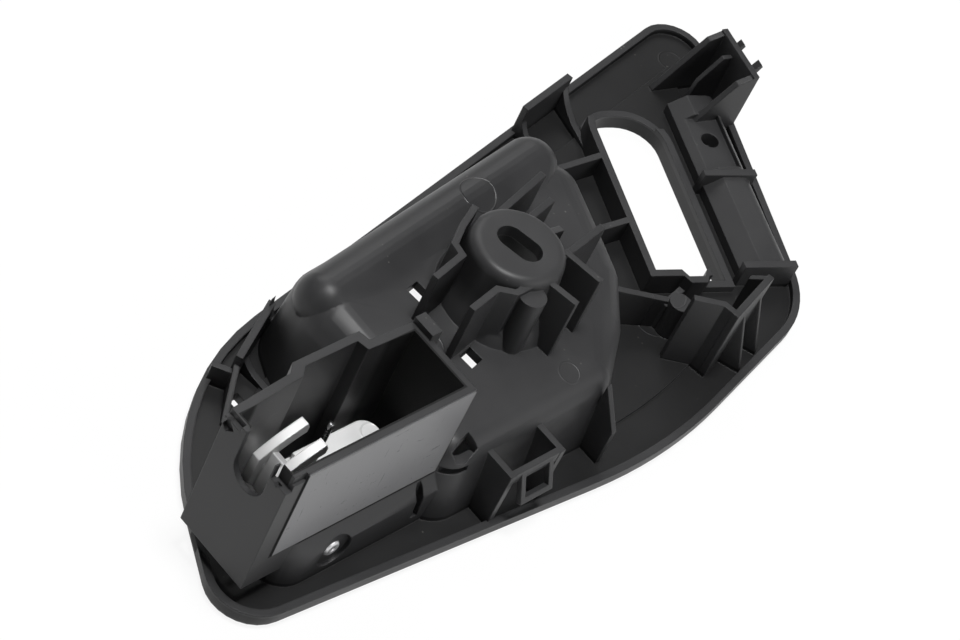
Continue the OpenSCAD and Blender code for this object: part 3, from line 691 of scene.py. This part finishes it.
@dataclass
class Lever:
    """The cast lever: hub, grip, two curved prongs with a web, and the flat wing.

    X and Z are measured from the pivot and Y in the layout, in mm.
    """

    place: Place
    finish: Finish
    hub_radius: float = 7.5
    bore: float = 2.08
    room: float = 4.05
    hub_y: tuple[float, float] = (-29.95, -15.85)
    cheeks_y: tuple[tuple[float, float], ...] = ((-27.2, -25.2), (-21.6, -19.6))
    prong: tuple[float, float] = (27.6, 30.6)
    prong_turn: tuple[float, float] = (14.0, 36.0)
    grip_reach: float = 68.9
    grip_y: tuple[float, float] = (-32.15, -12.25)
    grip_corners: tuple[float, float] = (7.0, 9.0)
    wing_top: float = 10.4
    wing_thick: float = 2.0
    wing_size: tuple[float, float] = (20.0, 13.3)
    wing_corners: tuple[float, float] = (2.6, 3.4)
    ribs_y: tuple[float, float] = (-29.4, -18.4)
    rib_thick: float = 1.4
    edge_round: float = 0.32
    # where the coil's room starts, where its near leg's slot ends, where its far leg's starts, where it ends
    coil_y: tuple[float, float, float, float] = (-28.9, -27.1, -24.2, -22.4)
    # how far shells that belong together run into each other
    overlap: float = 0.05

    def cheek(self) -> np.ndarray:
        """Outline of a cheek: an arc round the coil, an arm, and a curved prong between two radii.

        Returns:
            Rows of X and Z.
        """
        start, end = (90.0 + a for a in self.prong_turn)
        inner = arc(self.prong[0], end, start, 10)
        outer = arc(self.prong[1], start, end, 10)
        tip = 0.5 * (inner[-1] + outer[0]) + 0.4 * np.array([np.cos(np.radians(start - 90.0)), 0.25])
        arm = np.array([[5.6, 4.4], [2.2, 10.6], [-4.6, 12.9], [-10.8, 15.4], [-13.6, 19.0]])
        heel = np.array([[-18.5, 19.5], [-18.5, 13.5], [-14.4, 8.2], [-9.0, 4.6], [-6.4, 2.4]])
        return np.concatenate([arm, inner, [tip], outer, heel, arc(self.room + 0.5, 150.0, 30.0, 9)])

    def grip(self) -> Shell:
        """Bowed tongue.

        A section at each X is a rounded box: cos t and sin t, each to the power 0.35 with its sign, times
        half the width and half the thickness. The width follows the plan with its round corners.

        Returns:
            Points and faces.
        """
        end = self.grip_reach - 12.9 * (1 - np.linspace(0.03, 0.995, 18))
        u = np.concatenate([np.linspace(-3.0, 56.0, 40), end])
        lift = 0.8 + 1.6 * (u / 69.0) ** 3
        top = np.interp(u, [-3.0, 2.0, 5.0, 9.0, 13.8, 70.0], [2.9, 3.0, 4.3, 8.3, 3.3, 3.3]) + lift - 0.8
        low_y = np.interp(u, [30.0, 40.0], [self.hub_y[0], self.grip_y[0]])
        high_y = np.interp(u, [30.0, 40.0], [self.hub_y[1], self.grip_y[1]])
        small, large = self.grip_corners
        near = np.clip(u - (self.grip_reach - small), 0.0, small - 0.01)
        far = np.clip(u - (self.grip_reach - large), 0.0, large - 0.01)
        low_y = low_y + small - np.sqrt(small ** 2 - near ** 2)
        high_y = high_y - large + np.sqrt(large ** 2 - far ** 2)
        t = np.linspace(0.0, 2.0 * np.pi, 28, endpoint=False)
        c, d = (np.sign(f) * np.abs(f) ** 0.35 for f in (np.cos(t), np.sin(t)))
        y = ((high_y + low_y) / 2)[:, None] + ((high_y - low_y) / 2)[:, None] * c
        z = ((top + lift) / 2)[:, None] + ((top - lift) / 2)[:, None] * d - self.place.pivot[2]
        points = np.stack([np.broadcast_to(u[:, None], y.shape), y, z], -1).reshape(-1, 3)
        faces = [f[::-1] for f in grid_faces(len(u), len(t), True)]
        last = (len(u) - 1) * len(t)
        faces.append(tuple(range(len(t))))
        faces.append(tuple(last + k for k in reversed(range(len(t)))))
        return points, [f[::-1] for f in faces]

    def hub(self) -> list[Shell]:
        """Rings round the pin, wide where the coil sits and open where its legs leave.

        Returns:
            One shell for each stretch along the pin.
        """
        y0, y1 = self.hub_y
        c0, c1, c2, c3 = self.coil_y
        spans = ((y0, c0, self.bore, 0.0, 359.0), (c0, c1, self.room, -75.0, 80.0),
                 (c1, c2, self.room, 0.0, 359.0), (c2, c3, self.room, 165.0, 458.0),
                 (c3, y1, self.bore, 0.0, 359.0))
        rings = []
        for low, high, inner, start, end in spans:
            outline = np.concatenate([arc(self.hub_radius, start, end, 48), arc(inner, end, start, 48)])
            rings.append(extrude(outline, low, high, "Y"))
        return rings

    def wing(self) -> list[Shell]:
        """Flat plate with two round corners, and the block that carries it.

        Returns:
            The shells of the plate and the block.
        """
        length, width = self.wing_size
        y0 = self.hub_y[0]
        small, large = self.wing_corners
        near = arc(small, -90.0, 0.0, 8) + [length - small, y0 + small]
        far = arc(large, 0.0, 90.0, 10) + [length - large, y0 + width - large]
        plate = np.concatenate([[[0.0, y0]], near, far, [[0.0, y0 + width]]])
        under = self.wing_top - 1.0
        block = np.array([[5.2, 1.0], [15.0, 2.0], [15.0, under], [-2.0, under], [0.0, 5.0]])
        flat = extrude(plate, self.wing_top - self.wing_thick, self.wing_top, "Z")
        return [flat, extrude(block, y0 + self.overlap, self.coil_y[0] + self.overlap, "Y")]

    def build(self, shared: SharedEffects, shift: Vec3) -> bpy.types.Object:
        """Joins the lever's forms, rounds their edges and lets it ride on its body.

        Args:
            shared: the shared node groups.
            shift: what is taken from the layout's X and Y, in mm, to reach the part's frame.

        Returns:
            The lever.
        """
        web = np.array([[-14.9, 25.5], [-16.4, 19.0], [-16.4, 11.5],
                        [-14.6, 11.5], [-14.6, 19.0], [-13.1, 24.6]])
        rest = np.array([[-6.6, 9.0], [-4.4, 9.0], [-4.4, 12.0], [-6.6, 12.0]])
        rib = np.array([[6.0, -5.0], [55.0, -5.2], [47.0, -2.3], [22.3, -1.4], [6.0, 2.6]])
        gap = (self.cheeks_y[0][1] - self.overlap, self.cheeks_y[1][0] + self.overlap)
        parts = [self.grip(), *self.hub(), *self.wing()]
        parts += [extrude(self.cheek(), low, high, "Y") for low, high in self.cheeks_y]
        parts += [extrude(web, *gap, "Y"), extrude(rest, *gap, "Y")]
        parts += [extrude(rib, y, y + self.rib_thick, "Y") for y in self.ribs_y]
        points, faces = join(parts)
        px, _, pz = self.place.pivot
        obj = make_mesh("lever_cast", (points + [px, -shift[1], pz]) * MM, faces, self.finish.build(shared))
        edge = obj.modifiers.new("round_edges", "BEVEL")
        edge.width = self.edge_round * MM
        edge.segments = 3
        edge.limit_method = "ANGLE"
        edge.angle_limit = math.radians(38.0)
        even = obj.modifiers.new("weighted", "WEIGHTED_NORMAL")
        even.keep_sharp = True
        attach(obj, "lever")
        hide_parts("lever")
        return obj


@dataclass
class RestPad:
    """The rubber pad in the end plate: a CAD node with its own finish."""

    finish: Finish
    node: str = "rest_buffer"

    def dress(self, cad: CadNodes, shared: SharedEffects) -> bpy.types.Object:
        """Gives the node its finish and returns it."""
        return dress_node(cad[self.node], self.finish.build(shared))


def dress_node(obj: bpy.types.Object, material: bpy.types.Material, crease: float = 31.0) -> bpy.types.Object:
    """Gives a CAD node a finish and smooth shading across its shallow edges.

    The points that share a place are welded, edges that turn by more than the crease are split, and the
    normals are weighted by area, so that flat faces stay flat beside rounded ones.

    Args:
        obj: the node's object.
        material: its finish.
        crease: degrees from which an edge stays sharp.

    Returns:
        The node's object.
    """
    mesh = obj.data
    mesh.materials.clear()
    mesh.materials.append(material)
    own_normals = mesh.attributes.get("custom_normal")
    if own_normals is not None:
        mesh.attributes.remove(own_normals)
    mesh.polygons.foreach_set("use_smooth", np.full(len(mesh.polygons), True))
    weld = obj.modifiers.new("weld", "WELD")
    weld.merge_threshold = 0.004 * MM
    split = obj.modifiers.new("crease", "EDGE_SPLIT")
    split.split_angle = math.radians(crease)
    split.use_edge_sharp = False
    even = obj.modifiers.new("weighted", "WEIGHTED_NORMAL")
    even.keep_sharp = True
    return obj


@dataclass
class PivotPin:
    """The turned pin: chamfered ends with a centre dimple."""

    place: Place
    finish: Finish
    chamfer: float = 0.4
    dimple: float = 0.4

    def build(self, shared: SharedEffects) -> bpy.types.Object:
        """Revolves the pin's profile and puts it in the CAD pin's place.

        Args:
            shared: the shared node groups.

        Returns:
            The pin.
        """
        r = self.place.pin_radius
        y0, y1 = self.place.pin_span
        c, d = self.chamfer, self.dimple
        steps = np.linspace(0.0, np.pi / 2, 6)
        cup = np.stack([0.02 + d * np.sin(steps), 0.45 * d * np.cos(steps)], 1)
        near = np.concatenate([cup + [0.0, y0], [[r - c, y0], [r - 0.1, y0 + c - 0.05], [r, y0 + c + 0.1]]])
        far = np.stack([near[::-1, 0], y1 - (near[::-1, 1] - y0)], 1)
        profile = np.concatenate([near, far]) * MM
        points, faces = revolve(profile, (self.place.pivot[0] * MM, 0.0, self.place.pivot[2] * MM), "Y", 48)
        obj = make_mesh("pivot_pin_turned", points, faces, self.finish.build(shared))
        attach(obj, "bezel")
        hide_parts("pivot_pin")
        return obj


@dataclass
class ReturnSpring:
    """The torsion spring: one wire from its fixed leg through the coil to its moving leg, in mm."""

    place: Place
    finish: Finish
    wire: float = 1.2
    turns: float = 3.75
    coil_radius: float = 3.05
    leg_y: float = -28.0
    fixed_x: float = -19.9
    free_z: float = 29.0
    free_x: float = -2.75

    def path(self, steps: int = 40) -> np.ndarray:
        """Centre line of the wire.

        It has a straight leg, a coil whose point at angle a is at radius times cos a and sin a and moves
        along the pin by one pitch a turn, and a second straight leg.

        Args:
            steps: points for each turn.

        Returns:
            Points in metres.
        """
        pitch = self.wire + 0.05
        count = int(self.turns * steps)
        i = np.arange(count + 1)
        a = np.radians(90.0) - i * 2.0 * np.pi / steps
        coil = np.stack([self.coil_radius * np.cos(a), self.leg_y + pitch * i / steps,
                         self.coil_radius * np.sin(a)], 1)
        lead = np.linspace(0.0, 1.0, 14, endpoint=False)[:, None]
        start = np.array([self.fixed_x, self.leg_y, self.coil_radius])
        end = np.array([self.free_x, coil[-1, 1], self.free_z])
        fixed = start + (coil[0] - start) * lead
        free = coil[-1] + (end - coil[-1]) * (1.0 - lead[::-1])
        return np.concatenate([fixed, coil, free])

    def build(self, shared: SharedEffects, shift: Vec3) -> bpy.types.Object:
        """Sweeps the wire.

        Args:
            shared: the shared node groups.
            shift: what is taken from the path's Y, in mm, to reach the part's frame.

        Returns:
            The spring.
        """
        px, _, pz = self.place.pivot
        path = (self.path() + np.array([px, -shift[1], pz])) * MM
        points, faces = sweep(path, self.wire * MM / 2, (0.0, 1.0, 0.0))
        obj = make_mesh("return_spring_wire", points, faces, self.finish.build(shared))
        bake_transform(obj)
        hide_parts("return_spring")
        return obj


@dataclass
class Studio:
    """White sweep, soft boxes and the camera of the photograph."""

    shift: Vec3
    camera_at: Vec3 = (-422.8, -221.3, 473.2)
    right: Vec3 = (0.6987, -0.6364, 0.3268)
    up: Vec3 = (0.3404, 0.6976, 0.6305)
    back: Vec3 = (-0.6292, -0.3293, 0.7041)
    focal_px: float = 3147.6
    width_px: float = 960.0

    def camera(self) -> bpy.types.Object:
        """Sets up the camera that was worked out from the edges of the cable box.

        Returns:
            The camera.
        """
        data = bpy.data.cameras.new("photo_camera")
        data.sensor_width = 36.0
        data.lens = 36.0 * self.focal_px / self.width_px
        data.clip_start = 0.05
        data.clip_end = 20.0
        obj = bpy.data.objects.new("photo_camera", data)
        bpy.context.scene.collection.objects.link(obj)
        turn = Matrix((self.right, self.up, self.back)).transposed().to_4x4()
        at = Vector(self.camera_at) - Vector(self.shift)
        obj.matrix_world = Matrix.Translation(at * MM) @ turn
        bpy.context.scene.camera = obj
        return obj

    def lamp(self, name: str, at: Vec3, aim: Vec3, size: tuple[float, float],
             power: float) -> bpy.types.Object:
        """Hangs a soft box.

        Args:
            name: its name.
            at: its middle, in metres.
            aim: the point that it faces.
            size: its width and height in metres.
            power: watts.

        Returns:
            The light.
        """
        data = bpy.data.lights.new(name, "AREA")
        data.shape = "RECTANGLE"
        data.size, data.size_y = size
        data.energy = power
        obj = bpy.data.objects.new(name, data)
        bpy.context.scene.collection.objects.link(obj)
        obj.location = at
        obj.rotation_mode = "QUATERNION"
        obj.rotation_quaternion = (Vector(aim) - Vector(at)).to_track_quat("-Z", "Y")
        return obj

    def floor(self) -> bpy.types.Object:
        """Lays the pale floor.

        The camera and glossy surfaces see it as nearly clean white, and from below it is clear, so that the
        handle's front can be seen through it.

        Returns:
            The floor.
        """
        size = 6.0
        low = -FLOOR_DROP * MM
        points = np.array([[-size, -size, low], [size, -size, low], [size, size, low], [-size, size, low]])
        material = bpy.data.materials.new("sweep_white")
        material.use_nodes = True
        material.node_tree.nodes.clear()
        n = Nodes(material.node_tree)
        out = n.add("ShaderNodeOutputMaterial")
        diffuse = n.add("ShaderNodeBsdfDiffuse")
        diffuse.inputs["Color"].default_value = (0.82, 0.82, 0.82, 1.0)
        glow = n.add("ShaderNodeEmission")
        glow.inputs["Color"].default_value = (1.0, 1.0, 1.0, 1.0)
        blend = n.add("ShaderNodeMixShader")
        path = n.add("ShaderNodeLightPath")
        mirrored = n.math("MULTIPLY", path.outputs["Is Glossy Ray"], 0.72)
        seen = n.math("MAXIMUM", path.outputs["Is Camera Ray"], mirrored)
        n.wire(n.math("MULTIPLY", seen, 0.9), blend.inputs[0])
        n.wire(diffuse.outputs[0], blend.inputs[1])
        n.wire(glow.outputs[0], blend.inputs[2])
        side = n.add("ShaderNodeMixShader")
        n.wire(n.add("ShaderNodeNewGeometry").outputs["Backfacing"], side.inputs[0])
        n.wire(blend.outputs[0], side.inputs[1])
        n.wire(n.add("ShaderNodeBsdfTransparent").outputs[0], side.inputs[2])
        n.wire(side.outputs[0], out.inputs["Surface"])
        material.use_transparent_shadow = False
        obj = make_mesh("floor", points, [(0, 1, 2, 3)], material, smooth=False)
        return obj

    def world(self, fill: float, mirrored: float) -> None:
        """Fills the studio with an even grey light, which the camera sees as white.

        Args:
            fill: strength for the light that falls on the object.
            mirrored: strength that glossy surfaces show.
        """
        world = bpy.data.worlds.new("studio")
        world.use_nodes = True
        n = Nodes(world.node_tree)
        path = n.add("ShaderNodeLightPath")
        shown = n.math("MULTIPLY", path.outputs["Is Glossy Ray"], mirrored - fill)
        seen = n.math("MULTIPLY", path.outputs["Is Camera Ray"], 1.0 - fill)
        background = world.node_tree.nodes["Background"]
        background.inputs["Color"].default_value = (1.0, 1.0, 1.0, 1.0)
        n.wire(n.math("ADD", n.math("ADD", shown, seen), fill), background.inputs["Strength"])
        bpy.context.scene.world = world

    def build(self) -> None:
        """Lays the floor, hangs the lights and sets the camera."""
        self.floor()
        self.world(fill=0.05, mirrored=0.24)
        handle = (0.0, 0.0, 0.02)
        well = (-0.06, -0.02, 0.03)
        self.lamp("key_box", (0.3, -1.0, 0.6), handle, size=(0.9, 0.6), power=5.0)
        self.lamp("back_box", (0.35, 0.75, 0.8), handle, size=(0.8, 0.6), power=4.5)
        self.lamp("well_box", (-0.08, -0.04, 1.15), well, size=(0.3, 0.2), power=13.0)
        self.camera()


def finishes(shift: Vec3) -> dict[Slot, Finish]:
    """Names the finish of each slot.

    Args:
        shift: what is taken from the layout's X and Y, in mm, to reach the part's frame.

    Returns:
        Finishes by slot.
    """
    sx, sy, _ = shift

    def patch(low: Vec3, high: Vec3, **look: object) -> Patch:
        """Makes a patch between two corners in the layout."""
        return Patch((low[0] - sx, low[1] - sy, low[2]), (high[0] - sx, high[1] - sy, high[2]), **look)

    # X, Y, radius, floor and depth of the marks on the moulding
    spots = ((-2.5, 12.6, 4.2, 22.0, 0.10), (-37.0, -12.0, 3.0, 20.0, 0.06),
             (34.5, -20.0, 4.0, 2.0, 0.06), (60.0, -26.0, 2.6, 2.0, 0.06),
             (-12.0, -30.0, 2.4, 14.0, 0.05), (98.0, 38.0, 3.0, 2.0, 0.06))
    marks = tuple(EjectorMark(x - sx, y - sy, radius, floor, depth) for x, y, radius, floor, depth in spots)
    cast_mark = EjectorMark(-57.6 - sx, -20.5 - sy, radius=2.4, floor=18.0, depth=0.1)
    # the side panel: smoother moulding, and painted light that makes its colour about five times lighter
    smooth_panel_painted_light = patch((-93.1, -33.2, 15.9), (-49.7, -32.25, 45.5), lighter=5.1, roughness=0.3)
    # painted shade: the grooves round the panel are darkened to nearly black
    groove_painted_shade = {"lighter": 0.1, "roughness": 0.75, "drag": EVEN}
    groove_left_painted_shade = patch((-93.7, -33.2, 15.2), (-93.0, -32.2, 45.5), **groove_painted_shade)
    groove_low_painted_shade = patch((-93.1, -33.2, 15.2), (-49.7, -32.2, 15.9), **groove_painted_shade)
    # painted shade: the flange's colour is darkened to about a third
    flange_painted_shade = Patch((-150.0, -90.0, -1.0), (150.0, 90.0, 3.4), lighter=0.3, roughness=0.42, drag=EVEN)
    # painted shade: inside the cable box the colour is darkened to about an eighth
    well = patch((-96.4, -31.0, 2.0), (-50.8, -14.9, 44.9), lighter=0.12, roughness=0.7, drag=EVEN)
    # painted shade on the lever: its cheeks round the pivot are darkened
    quadrant_painted_shade = patch((-110.0, -30.0, 14.0), (-79.0, -17.0, 45.0), lighter=0.6, roughness=0.42, drag=EVEN)
    return {
        Slot.HOUSING: Finish(
            "moulded_black", low=(0.025, 0.025, 0.026), high=(0.035, 0.035, 0.036), metallic=0.0,
            roughness=(0.36, 0.48), grain=Grain.MOULDED, grain_height=0.010, cloud_mm=22.0, edge_mm=0.4,
            edge_light=(0.085, 0.085, 0.087), edge_amount=0.5, specks=0.3, scuffs=0.5, specular=0.26,
            marks=marks, patches=(flange_painted_shade, well, smooth_panel_painted_light, groove_left_painted_shade, groove_low_painted_shade)),
        Slot.LEVER: Finish(
            "cast_silver", low=(0.82, 0.82, 0.82), high=(0.92, 0.92, 0.92), metallic=0.35,
            roughness=(0.36, 0.46), grain=Grain.CAST, grain_height=0.006, cloud_mm=9.0, edge_mm=0.5,
            edge_light=(0.9, 0.9, 0.9), edge_amount=0.5, specks=0.1, scuffs=0.7,
            marks=(cast_mark,), patches=(quadrant_painted_shade,)),
        Slot.PIN: Finish(
            "bright_steel", low=(0.6, 0.6, 0.61), high=(0.78, 0.78, 0.79), metallic=0.7,
            roughness=(0.28, 0.38), grain=Grain.DRAWN, grain_height=0.002, cloud_mm=5.0, edge_mm=0.15,
            edge_light=(0.9, 0.9, 0.9), edge_amount=0.4, specks=0.0, scuffs=0.5),
        Slot.SPRING: Finish(
            "spring_wire", low=(0.34, 0.34, 0.35), high=(0.5, 0.5, 0.5), metallic=1.0,
            roughness=(0.24, 0.36), grain=Grain.DRAWN, grain_height=0.003, cloud_mm=4.0, edge_mm=0.1,
            edge_light=(0.7, 0.7, 0.7), edge_amount=0.3, specks=0.0, scuffs=0.6),
        Slot.PAD: Finish(
            "soft_rubber", low=(0.016, 0.016, 0.016), high=(0.03, 0.03, 0.03), metallic=0.0,
            roughness=(0.62, 0.8), grain=Grain.RUBBER, grain_height=0.02, cloud_mm=3.0, edge_mm=0.3,
            edge_light=(0.05, 0.05, 0.05), edge_amount=0.3, specks=0.2, scuffs=0.2, specular=0.35),
    }


def main() -> None:
    """Builds the classes in order and reports each piece."""
    logging.basicConfig(level=logging.INFO, format="%(name)s: %(message)s")
    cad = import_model()["nodes"]
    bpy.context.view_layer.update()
    place = Place.from_frame()
    shift = (PIVOT_X - place.pivot[0], PIN_END_Y - place.pin_span[0], 0.0)
    shared = SharedEffects()
    looks = finishes(shift)
    steps: list[tuple[str, Callable[[], object]]] = [
        ("bezel", lambda: Bezel(looks[Slot.HOUSING]).dress(cad, shared)),
        ("lever", lambda: Lever(place, looks[Slot.LEVER]).build(shared, shift)),
        ("rest pad", lambda: RestPad(looks[Slot.PAD]).dress(cad, shared)),
        ("pivot pin", lambda: PivotPin(place, looks[Slot.PIN]).build(shared)),
        ("return spring", lambda: ReturnSpring(place, looks[Slot.SPRING]).build(shared, shift)),
        ("studio", lambda: Studio(shift).build()),
    ]
    for label, step in steps:
        step()
        LOG.info("built the %s", label)
    bpy.context.scene.view_settings.view_transform = "Standard"


if __name__ == "__main__":
    main()
